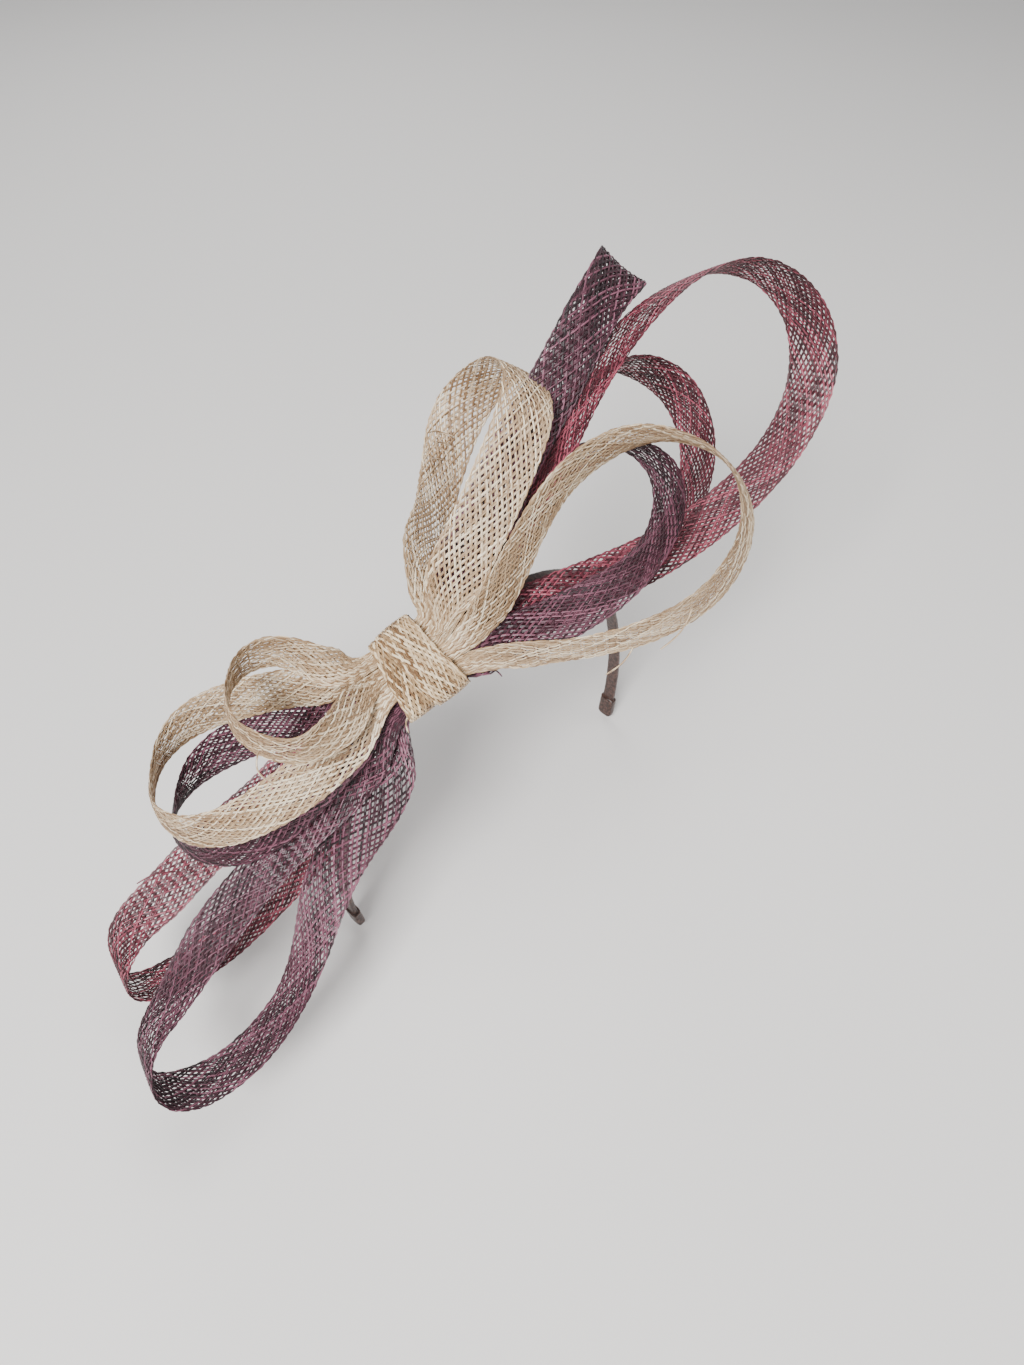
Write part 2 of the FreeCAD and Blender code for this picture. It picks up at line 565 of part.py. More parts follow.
def strip(route, width, opens_at, sections):
    """A strip's solid along a route: opens_at(distance, length) is its share of width."""
    places = [place for place, lie in route]
    distances = [0.0]
    for before, after in pairs(places):
        distances.append(distances[-1] + (after - before).Length)
    middle = Part.BSplineCurve()
    middle.interpolate(Points=places, Parameters=distances)
    wires = []
    for number in range(sections):
        at = distances[-1] * number / (sections - 1)
        place = middle.value(at)
        tangent = unit(middle.tangent(at)[0])
        lie = lie_at(route, distances, at)
        lie = unit(lie - tangent * lie.dot(tangent))
        half_width = lie * (width / 2 * opens_at(at, distances[-1]))
        half_depth = tangent.cross(lie) * (size["strip_thickness"] / 2)
        corners = [place + half_width + half_depth, place - half_width + half_depth,
                   place - half_width - half_depth, place + half_width - half_depth]
        wires.append(Part.makePolygon([*corners, corners[0]]))
    return Part.makeLoft(wires, True, False)


def in_the_knot(side, cell):
    """The straight run of a strip's end, from the middle of the knot to the wrap's mouth."""
    mouth = size["wrap_width"] / 2
    return [(Vector(side * along, *cell), flat) for along in (0.5, mouth / 2, mouth)]


def gathered(width):
    """How a loop's strip opens out from the knot at each of its ends."""
    start = size["wrap_width"] / 2
    pinch = size["gather_width"] / width

    def opens_at(distance, length):
        run = min(distance, length - distance) - start
        share = min(max(run / size["gather_run"], 0.0), 1.0)
        return pinch + (1 - pinch) * share * share * (3 - 2 * share)

    return opens_at


for name, side, width, first, last, route in LOOPS:
    points = in_the_knot(side, first)
    points += [(Vector(*place), Vector(*lie)) for place, lie in route]
    points += reversed(in_the_knot(side, last))
    shaped(name, strip(points, width, gathered(width), SECTIONS), spray)

# The cut end of a plum strip sticks out of the wrap below the round cream loop.
TAIL_ROUTE = [((17, -13, -4), (0.1, -0.8, 0.5)), ((22, -14, -5), (0.2, -0.8, 0.6))]


def flares(distance, length):
    """How the cut end opens out beyond the wrap."""
    pinch = size["gather_width"] / size["tail_width"]
    mouth = size["wrap_width"] / 2
    return pinch + (1 - pinch) * max(0.0, (distance - mouth) / (length - mouth))


points = in_the_knot(1, (-EDGE, UNDER))
points += [(Vector(*place), Vector(*lie)) for place, lie in TAIL_ROUTE]
shaped("plum_strip_tail", strip(points, size["tail_width"], flares, 10), spray)

# ------------------------------------------------------------------ check and write
doc.recompute()
faulty = [o.Label for o in doc.Objects if "Invalid" in o.State or "Error" in o.State]
if faulty:
    raise SystemExit(f"not built: {faulty}")
for piece in subparts:
    if piece.Shape.isNull() or not piece.Shape.isValid() or piece.Shape.Volume <= 0:
        raise SystemExit(f"not a valid solid: {piece.Label}")
os.makedirs("parts", exist_ok=True)
for piece in subparts:
    piece.Shape.exportStep(f"parts/{piece.Label}.step")
    print(f"{piece.Label}: {piece.Shape.Volume:.1f} mm3, {len(piece.Shape.Solids)} solid(s)")
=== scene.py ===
"""Looks of the looped sinamay fascinator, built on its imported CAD, in metres."""

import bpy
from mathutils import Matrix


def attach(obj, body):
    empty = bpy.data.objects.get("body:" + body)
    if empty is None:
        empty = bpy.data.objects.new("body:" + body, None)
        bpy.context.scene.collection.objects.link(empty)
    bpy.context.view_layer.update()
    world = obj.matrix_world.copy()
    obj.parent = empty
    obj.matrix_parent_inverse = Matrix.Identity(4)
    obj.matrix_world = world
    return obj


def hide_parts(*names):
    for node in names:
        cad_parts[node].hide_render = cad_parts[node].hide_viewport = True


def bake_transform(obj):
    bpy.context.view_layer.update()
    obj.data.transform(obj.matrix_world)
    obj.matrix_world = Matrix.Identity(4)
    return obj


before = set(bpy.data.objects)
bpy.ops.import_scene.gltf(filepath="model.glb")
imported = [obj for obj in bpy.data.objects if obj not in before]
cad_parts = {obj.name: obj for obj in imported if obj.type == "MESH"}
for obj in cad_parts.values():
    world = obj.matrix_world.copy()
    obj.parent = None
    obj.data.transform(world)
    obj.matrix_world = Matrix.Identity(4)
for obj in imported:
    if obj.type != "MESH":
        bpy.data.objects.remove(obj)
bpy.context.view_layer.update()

import bpy
import bmesh
import math
from mathutils import Matrix, Vector, noise

MM = 0.001

# ---------------------------------------------------------------- stage and light
# A wide pale floor just below the band's ends, and four soft lamps: a large window lamp
# from the left, a fill from the right, one overhead and a weak one from behind.


def colour(red, green, blue):
    """A linear colour from display values out of 255."""
    def linear(value):
        value /= 255
        return value / 12.92 if value <= 0.04045 else ((value + 0.055) / 1.055) ** 2.4
    return (linear(red), linear(green), linear(blue), 1.0)


def mesh_object(name, vertices, faces, material):
    """A smooth-shaded mesh object of one material."""
    mesh = bpy.data.meshes.new(name)
    mesh.from_pydata(vertices, [], faces)
    mesh.validate()
    mesh.update()
    made = bpy.data.objects.new(name, mesh)
    bpy.context.collection.objects.link(made)
    mesh.materials.append(material)
    mesh.polygons.foreach_set("use_smooth", [True] * len(mesh.polygons))
    return made


def grid_faces(rows, columns, close_columns=False):
    """Faces of a grid of rows x columns vertices, joined round its columns where asked."""
    faces = []
    for row in range(rows - 1):
        for column in range(columns if close_columns else columns - 1):
            below, right = row + 1, (column + 1) % columns
            faces.append((row * columns + column, row * columns + right,
                          below * columns + right, below * columns + column))
    return faces


def material_named(name, base, roughness=0.8):
    """A Principled material, its shader node, and its node tree to add to."""
    material = bpy.data.materials.new(name)
    material.use_nodes = True
    shader = material.node_tree.nodes["Principled BSDF"]
    shader.inputs["Base Color"].default_value = base
    shader.inputs["Roughness"].default_value = roughness
    return material, shader, material.node_tree


FLOOR_HALF, FLOOR_LEVEL = 4, -0.1385
paper, _, _ = material_named("pale_paper", colour(236, 233, 230), 0.95)
corners = [(x * FLOOR_HALF, y * FLOOR_HALF, FLOOR_LEVEL)
           for x, y in ((-1, -1), (1, -1), (1, 1), (-1, 1))]
floor = mesh_object("paper_floor", corners, [(0, 1, 2, 3)], paper)

world = bpy.data.worlds.new("studio")
bpy.context.scene.world = world
world.use_nodes = True
world.node_tree.nodes["Background"].inputs["Color"].default_value = (0.95, 0.97, 1.0, 1.0)
world.node_tree.nodes["Background"].inputs["Strength"].default_value = 0.34

for name, place, power, extent in (
        ("window", (-0.75, -0.35, 0.85), 22.0, 0.4),
        ("fill", (0.75, -0.75, 0.45), 2.5, 0.8),
        ("top", (0.1, -0.1, 1.1), 5.0, 0.6),
        ("back", (0.5, 0.9, 0.7), 4.0, 0.6)):
    lamp = bpy.data.lights.new(name, "AREA")
    lamp.energy = power
    lamp.size = extent
    holder = bpy.data.objects.new(name, lamp)
    bpy.context.collection.objects.link(holder)
    holder.location = place
    holder.rotation_mode = "QUATERNION"
    holder.rotation_quaternion = (-Vector(place)).to_track_quat("-Z", "Y")

# ---------------------------------------------------------------- the spray's frame
# U runs along the gathered strips, V to the back of the head and W away from the head.
# It stands off the band by the felt pad and half the wrap, 25 degrees to the wearer's
# right of the crown. Distances in the tables below are in millimetres.
spray_turn = (Matrix.Rotation(math.radians(-16), 3, "Z")
              @ Matrix.Rotation(math.radians(-22), 3, "Y")
              @ Matrix.Rotation(math.radians(34), 3, "X"))
CROWN_RADIUS, BAND_DEPTH = 78, 2.4
KNOT_ANGLE, KNOT_STAND_OFF = math.radians(25), 12.0
band_centre = Vector((0, 0, -CROWN_RADIUS))
knot_normal = Vector((-math.sin(KNOT_ANGLE), 0, math.cos(KNOT_ANGLE)))
knot = band_centre + knot_normal * (CROWN_RADIUS + BAND_DEPTH) + spray_turn.col[2] * KNOT_STAND_OFF


def from_spray(point):
    """A place in the spray's frame, in mm, as a place in the model's, in metres."""
    return (knot + spray_turn @ Vector(point)) * MM


# The camera looks down on the wrap from in front and to the wearer's right.
CAMERA_SHIFT, CAMERA_DROP, CAMERA_DISTANCE = 34.07, 5.97, 360
camera_data = bpy.data.cameras.new("camera")
camera = bpy.data.objects.new("camera", camera_data)
bpy.context.collection.objects.link(camera)
azimuth, elevation = math.radians(-45), math.radians(50)
back = Vector((math.sin(azimuth) * math.cos(elevation), -math.cos(azimuth) * math.cos(elevation),
               math.sin(elevation)))
right = Vector((math.cos(azimuth), math.sin(azimuth), 0))
up = back.cross(right)
camera.location = (knot + right * CAMERA_SHIFT - up * CAMERA_DROP + back * CAMERA_DISTANCE) * MM
camera.rotation_mode = "QUATERNION"
camera.rotation_quaternion = Matrix((right, up, back)).transposed().to_quaternion()
camera_data.sensor_fit = "VERTICAL"
camera_data.sensor_height = 36
camera_data.sensor_width = 36
camera_data.lens = 27.03
camera_data.clip_start = 0.01
camera_data.clip_end = 20
bpy.context.scene.camera = camera

# ---------------------------------------------------------------- sinamay strips
# Each loop is a bias tube of sinamay pressed flat: stiff flat threads in two directions,
# each crossing the strip at a slant and going over and under the other. The strip is
# gathered in the knot and opens to its full width over the next 26 mm.


def node(tree, kind, **settings):
    """Adds a node and sets its properties."""
    made = tree.nodes.new(kind)
    for name, value in settings.items():
        setattr(made, name, value)
    return made


def maths(tree, operation, *values):
    """The result of a sum on numbers and sockets."""
    made = tree.nodes.new("ShaderNodeMath")
    made.operation = operation
    for socket, value in zip(made.inputs, values):
        if isinstance(value, (int, float)):
            socket.default_value = value
        else:
            tree.links.new(value, socket)
    return made.outputs[0]


def vectors(tree, operation, first, second=None, scale=None):
    """The result of a sum on vector sockets."""
    made = tree.nodes.new("ShaderNodeVectorMath")
    made.operation = operation
    tree.links.new(first, made.inputs[0])
    if second is not None:
        tree.links.new(second, made.inputs[1])
    if scale is not None:
        tree.links.new(scale, made.inputs[3])
    return made.outputs[0]


def weave_tree():
    """A bias tube of woven threads along a guide line, pressed flat.

    The guide's points carry 'reach', half the strip's width as a vector across it.
    """
    tree = bpy.data.node_groups.new("bias_tube_weave", "GeometryNodeTree")
    face = tree.interface
    face.new_socket("Guide", in_out="INPUT", socket_type="NodeSocketGeometry")
    inputs = (("Threads", "NodeSocketInt", 22), ("Steps", "NodeSocketInt", 160),
              ("Thread Half Width", "NodeSocketFloat", 0.00038),
              ("Thread Half Depth", "NodeSocketFloat", 0.00016),
              ("Half Depth", "NodeSocketFloat", 0.0005),
              ("Over And Under", "NodeSocketFloat", 0.00016),
              ("Seed", "NodeSocketInt", 1),
              ("Material", "NodeSocketMaterial", None))
    for name, kind, value in inputs:
        socket = face.new_socket(name, in_out="INPUT", socket_type=kind)
        if value is not None:
            socket.default_value = value
    face.new_socket("Weave", in_out="OUTPUT", socket_type="NodeSocketGeometry")
    link = tree.links.new
    given = tree.nodes.new("NodeGroupInput").outputs
    guide = node(tree, "GeometryNodeMeshToCurve")
    link(given["Guide"], guide.inputs[0])

    families = tree.nodes.new("GeometryNodeJoinGeometry")
    for family, way in enumerate((1, -1)):
        line = node(tree, "GeometryNodeCurvePrimitiveLine")
        samples = node(tree, "GeometryNodeResampleCurve", mode="COUNT")
        link(line.outputs[0], samples.inputs[0])
        link(given["Steps"], samples.inputs["Count"])
        copies = node(tree, "GeometryNodeDuplicateElements", domain="SPLINE")
        link(samples.outputs[0], copies.inputs["Geometry"])
        link(given["Threads"], copies.inputs["Amount"])
        spot = node(tree, "GeometryNodeSplineParameter")
        thread = copies.outputs["Duplicate Index"]

        # Round the tube: this thread's start plus the slant's turns along the strip.
        wander = tree.nodes.new("ShaderNodeTexNoise")
        wander.noise_dimensions = "2D"
        place = tree.nodes.new("ShaderNodeCombineXYZ")
        link(maths(tree, "MULTIPLY", spot.outputs["Factor"], 14.0), place.inputs[0])
        seeded = maths(tree, "ADD", maths(tree, "MULTIPLY", given["Seed"], 31.0), 400.0 * family)
        link(maths(tree, "ADD", maths(tree, "MULTIPLY", thread, 7.3), seeded), place.inputs[1])
        link(place.outputs[0], wander.inputs["Vector"])
        wander.inputs["Scale"].default_value = 1.0
        drift = maths(tree, "MULTIPLY", maths(tree, "SUBTRACT", wander.outputs[0], 0.5), 0.9)
        turns = maths(tree, "DIVIDE", maths(tree, "MULTIPLY", spot.outputs["Index"], 0.5 * way),
                      given["Threads"])
        start = maths(tree, "DIVIDE", maths(tree, "ADD", thread, drift), given["Threads"])
        round_tube = maths(tree, "MULTIPLY", maths(tree, "ADD", start, turns), 2 * math.pi)
        cosine = maths(tree, "COSINE", round_tube)
        sine = maths(tree, "SINE", round_tube)
        across = maths(tree, "MULTIPLY",
                       maths(tree, "ARCSINE", maths(tree, "MULTIPLY", cosine, 0.985)), 0.72)

        # The guide's place, direction and reach at this distance along.
        at = tree.nodes.new("GeometryNodeSampleCurve")
        at.mode = "FACTOR"
        at.data_type = "FLOAT_VECTOR"
        reach = node(tree, "GeometryNodeInputNamedAttribute", data_type="FLOAT_VECTOR")
        reach.inputs[0].default_value = "reach"
        link(guide.outputs[0], at.inputs["Curves"])
        link(reach.outputs[0], at.inputs["Value"])
        link(spot.outputs["Factor"], at.inputs["Factor"])
        sideways = at.outputs["Value"]
        thickness = vectors(tree, "NORMALIZE",
                            vectors(tree, "CROSS_PRODUCT", at.outputs["Tangent"], sideways))

        # Over one thread and under the next.
        parity = maths(tree, "SUBTRACT", 0.5, maths(tree, "MODULO", spot.outputs["Index"], 2.0))
        over = maths(tree, "MULTIPLY", maths(tree, "MULTIPLY", parity, 2.0 * way),
                     given["Over And Under"])
        out = maths(tree, "MULTIPLY", sine, given["Half Depth"])
        sign = maths(tree, "SIGN", sine)
        depth = maths(tree, "ADD", out, maths(tree, "MULTIPLY", over, sign))
        place = vectors(tree, "ADD", at.outputs["Position"],
                        vectors(tree, "ADD", vectors(tree, "SCALE", sideways, scale=across),
                                vectors(tree, "SCALE", thickness, scale=depth)))
        moved = tree.nodes.new("GeometryNodeSetPosition")
        link(copies.outputs["Geometry"], moved.inputs["Geometry"])
        link(place, moved.inputs["Position"])
        facing = node(tree, "GeometryNodeSetCurveNormal", mode="FREE")
        link(moved.outputs[0], facing.inputs["Curve"])
        link(thickness, facing.inputs["Normal"])

        along = node(tree, "GeometryNodeStoreNamedAttribute", data_type="FLOAT", domain="POINT")
        along.inputs["Name"].default_value = "along"
        link(facing.outputs[0], along.inputs["Geometry"])
        link(spot.outputs["Factor"], along.inputs["Value"])
        number = node(tree, "GeometryNodeStoreNamedAttribute", data_type="FLOAT", domain="POINT")
        number.inputs["Name"].default_value = "thread"
        link(along.outputs[0], number.inputs["Geometry"])
        link(maths(tree, "ADD", thread, maths(tree, "MULTIPLY", given["Threads"], float(family))),
             number.inputs["Value"])
        link(number.outputs[0], families.inputs[0])

    # A flat four-sided thread, open along one edge so that its map can be laid out flat.
    section = node(tree, "GeometryNodeCurveArc")
    section.inputs["Resolution"].default_value = 5
    section.inputs["Radius"].default_value = 1.0
    section.inputs["Sweep Angle"].default_value = 2 * math.pi
    round_section = node(tree, "GeometryNodeStoreNamedAttribute", data_type="FLOAT", domain="POINT")
    round_section.inputs["Name"].default_value = "around"
    place = node(tree, "GeometryNodeSplineParameter")
    link(section.outputs[0], round_section.inputs["Geometry"])
    link(place.outputs["Factor"], round_section.inputs["Value"])
    squeezed = tree.nodes.new("GeometryNodeTransform")
    link(round_section.outputs[0], squeezed.inputs["Geometry"])
    amounts = tree.nodes.new("ShaderNodeCombineXYZ")
    link(given["Thread Half Depth"], amounts.inputs[0])
    link(given["Thread Half Width"], amounts.inputs[1])
    amounts.inputs[2].default_value = 1.0
    link(amounts.outputs[0], squeezed.inputs["Scale"])
    swept = tree.nodes.new("GeometryNodeCurveToMesh")
    link(families.outputs[0], swept.inputs["Curve"])
    link(squeezed.outputs[0], swept.inputs["Profile Curve"])

    def read(name):
        made = node(tree, "GeometryNodeInputNamedAttribute", data_type="FLOAT")
        made.inputs[0].default_value = name
        return made.outputs[0]

    lane = maths(tree, "ADD", read("thread"),
                 maths(tree, "ADD", 0.08, maths(tree, "MULTIPLY", read("around"), 0.84)))
    laid = tree.nodes.new("ShaderNodeCombineXYZ")
    link(read("along"), laid.inputs[0])
    lanes = maths(tree, "MULTIPLY", given["Threads"], 2.0)
    link(maths(tree, "DIVIDE", lane, lanes), laid.inputs[1])
    mapped = node(tree, "GeometryNodeStoreNamedAttribute", data_type="FLOAT2", domain="CORNER")
    mapped.inputs["Name"].default_value = "OFBake"
    link(swept.outputs[0], mapped.inputs["Geometry"])
    link(laid.outputs[0], mapped.inputs["Value"])
    real = tree.nodes.new("GeometryNodeRealizeInstances")
    link(mapped.outputs[0], real.inputs[0])
    finished = tree.nodes.new("GeometryNodeSetMaterial")
    link(real.outputs[0], finished.inputs["Geometry"])
    link(given["Material"], finished.inputs["Material"])
    end = tree.nodes.new("NodeGroupOutput")
    link(finished.outputs[0], end.inputs[0])
    return tree


def natural_spline(distances, points):
    """The second derivatives of a natural cubic spline through the points."""
    count = len(points)
    bend = [Vector((0, 0, 0)) for _ in points]
    weight = [0.0] * count
    held = [Vector((0, 0, 0)) for _ in points]
    for k in range(1, count - 1):
        before, after = distances[k] - distances[k - 1], distances[k + 1] - distances[k]
        share = before / (before + after)
        pivot = share * weight[k - 1] + 2
        weight[k] = (share - 1) / pivot
        slope = (points[k + 1] - points[k]) / after - (points[k] - points[k - 1]) / before
        held[k] = (6 * slope / (before + after) - share * held[k - 1]) / pivot
    for k in range(count - 2, -1, -1):
        bend[k] = weight[k] * bend[k + 1] + held[k]
    return bend


def sweep_route(route, width, flare, step):
    """Points along a route: (distance, place, tangent, across, half width), in mm."""
    points = [Vector(place) for place, lie in route]
    lies = [Vector(lie).normalized() for place, lie in route]
    distances = [0.0]
    for before, after in zip(points, points[1:]):
        distances.append(distances[-1] + (after - before).length)
    bend = natural_spline(distances, points)
    length = distances[-1]
    count = int(length / step) + 1
    swept = []
    k = 0
    for number in range(count + 1):
        at = length * number / count
        while k < len(points) - 2 and at > distances[k + 1]:
            k += 1
        gap = distances[k + 1] - distances[k]
        b = (at - distances[k]) / gap
        a = 1 - b
        place = (a * points[k] + b * points[k + 1]
                 + ((a ** 3 - a) * bend[k] + (b ** 3 - b) * bend[k + 1]) * gap * gap / 6)
        slope = ((points[k + 1] - points[k]) / gap
                 + ((3 * b * b - 1) * bend[k + 1] - (3 * a * a - 1) * bend[k]) * gap / 6)
        tangent = slope.normalized()
        lie = (lies[k] * a + lies[k + 1] * b).normalized()
        lie = (lie - tangent * lie.dot(tangent)).normalized()
        swept.append((at, place, tangent, lie, width / 2 * flare(at, length)))
    return swept, length


WRAP_EDGE = 11.0        # from the knot's middle to where a strip comes out of the wrap
OPENING_RUN = 26.0      # from there to its full width
GATHERED_SHARE = 0.3    # of its full width, inside the knot


def gathered(at, length):
    """The share of its full width that a loop's strip has, squeezed under the wrap."""
    run = min(at, length - at) - WRAP_EDGE
    share = min(max(run / OPENING_RUN, 0.0), 1.0)
    return GATHERED_SHARE + (1 - GATHERED_SHARE) * share * share * (3 - 2 * share)


def mottle_group():
    """Colour that drifts at random between three tones (on the straw partly painted highlight and
    shade), and the grain's height for a bump.
    """
    tree = bpy.data.node_groups.new("tone_and_painted_light_mottle", "ShaderNodeTree")
    for socket, kind in (("Vector", "Vector"), ("Scale", "Float"), ("Detail", "Float"),
                         ("Deep", "Color"), ("Main", "Color"), ("Pale", "Color")):
        tree.interface.new_socket(name=socket, in_out="INPUT", socket_type="NodeSocket" + kind)
    tree.interface.new_socket(name="Colour", in_out="OUTPUT", socket_type="NodeSocketColor")
    tree.interface.new_socket(name="Grain", in_out="OUTPUT", socket_type="NodeSocketFloat")
    nodes, link = tree.nodes, tree.links.new
    given, end = nodes.new("NodeGroupInput"), nodes.new("NodeGroupOutput")
    grain = nodes.new("ShaderNodeTexNoise")
    for socket in ("Vector", "Scale", "Detail"):
        link(given.outputs[socket], grain.inputs[socket])
    colour_now = given.outputs["Deep"]
    for low, high, next_colour in ((0.38, 0.5, "Main"), (0.5, 0.62, "Pale")):
        share = nodes.new("ShaderNodeMapRange")
        share.inputs["From Min"].default_value = low
        share.inputs["From Max"].default_value = high
        link(grain.outputs[0], share.inputs["Value"])
        mix = nodes.new("ShaderNodeMix")
        mix.data_type = "RGBA"
        link(share.outputs[0], mix.inputs[0])
        link(colour_now, mix.inputs[6])
        link(given.outputs[next_colour], mix.inputs[7])
        colour_now = mix.outputs[2]
    link(colour_now, end.inputs["Colour"])
    link(grain.outputs[0], end.inputs["Grain"])
    return tree


mottle = mottle_group()


def mottled(material_tree, shader, vector, scale, detail, colours):
    """Put the mottle group in a material and feed its colour; returns the group node."""
    mottle_node = material_tree.nodes.new("ShaderNodeGroup")
    mottle_node.node_tree = mottle
    material_tree.links.new(vector, mottle_node.inputs["Vector"])
    mottle_node.inputs["Scale"].default_value = scale
    mottle_node.inputs["Detail"].default_value = detail
    for socket, value in zip(("Deep", "Main", "Pale"), colours):
        mottle_node.inputs[socket].default_value = colour(*value)
    material_tree.links.new(mottle_node.outputs["Colour"], shader.inputs["Base Color"])
    return mottle_node


def straw(name, deep, main, pale):
    """Dyed straw thread, its colour drifting between threads and along each one, partly as painted
    highlight and painted shade.
    """
    material, shader, tree = material_named(name, colour(*main), 0.45)
    place = tree.nodes.new("ShaderNodeUVMap")
    place.uv_map = "OFBake"
    stretch = tree.nodes.new("ShaderNodeMapping")
    stretch.inputs["Scale"].default_value = (3.0, 46.0, 1.0)
    tree.links.new(place.outputs[0], stretch.inputs[0])
    # The drift's pale end stands partly for painted highlight, its deep end partly for painted
    # shade between the threads.
    mottled(tree, shader, stretch.outputs[0], 1.0, 2.0, (deep, main, pale))
    shader.inputs["Specular IOR Level"].default_value = 0.5
    shader.inputs["Sheen Weight"].default_value = 0.08
    return material


# Deep, main and pale tones of each straw: the pale tone is partly a painted highlight, the deep
# tone partly painted shade.
cream = straw("cream_straw", (138, 107, 76), (190, 160, 124), (244, 227, 198))
plum = straw("plum_straw", (28, 9, 16), (60, 22, 36), (134, 82, 100))
rose = straw("rose_straw", (44, 10, 18), (82, 21, 35), (172, 82, 100))

# Cells of the knot, as columns across V and layers up W, and the way the widths lie there.
edge_column, near_column = 9.9, 3.3
top, upper, lower, bottom = 3.9, 1.3, -1.3, -3.9
raised, dropped = 2.2, -2.2
flat = (0, -1, 0)

